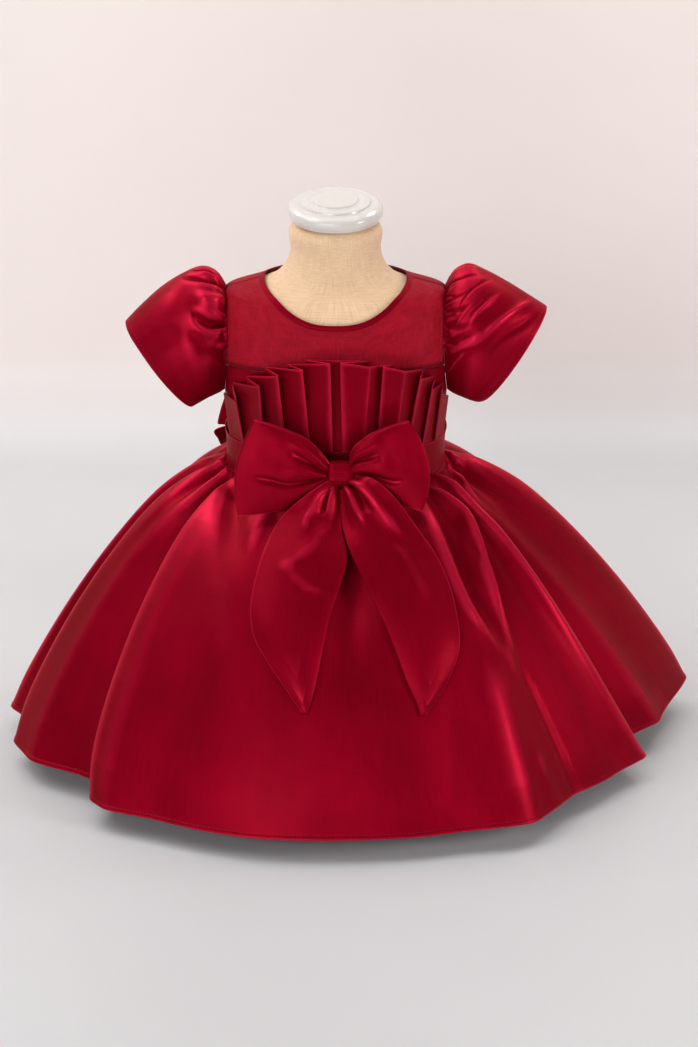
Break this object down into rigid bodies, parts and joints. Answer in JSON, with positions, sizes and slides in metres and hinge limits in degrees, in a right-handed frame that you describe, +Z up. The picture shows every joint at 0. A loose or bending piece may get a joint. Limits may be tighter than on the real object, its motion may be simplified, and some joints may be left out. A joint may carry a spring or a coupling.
{
  "type": "toddler party dress on a limbless dress form",
  "caption": "Short-sleeved toddler party dress in red satin, with a sheer yoke, pleated fan front, bows and a full gathered skirt, on a limbless linen dress form that stands.",
  "frame": {"origin": "centre of the underside of the stand's round base, on the floor", "axes": "+Z up, -Y towards the front of the dress, +X towards the wearer's left"},
  "size_m": [0.5781, 0.52, 0.4721],
  "materials": {
    "satin": "wine-red duchess satin with a soft pinkish sheen",
    "organza": "sheer wine-red organza",
    "linen": "natural linen stretched over a padded form",
    "white_gloss": "white gloss lacquer",
    "steel": "brushed steel tube"
  },
  "bodies": {
    "root": {"bodice_front": "satin", "bodice_back_left": "satin", "bodice_back_right": "satin", "neck_binding": "satin", "waistband": "satin", "fan_ruffle": "satin", "skirt_front": "satin", "skirt_back_left": "satin", "skirt_back_right": "satin", "sleeve_left": "satin", "sleeve_right": "satin", "bow_loop_left": "satin", "bow_loop_right": "satin", "bow_knot": "satin", "bow_tail_left": "satin", "bow_tail_right": "satin", "back_bow_loop_left": "satin", "back_bow_loop_right": "satin", "back_bow_knot": "satin", "back_bow_tail_left": "satin", "back_bow_tail_right": "satin", "yoke_front": "organza", "yoke_back_left": "organza", "yoke_back_right": "organza", "form_body": "linen", "neck_cap": "white_gloss", "stand_base": "white_gloss", "stand_pole": "steel"}
  },
  "joints": []
}
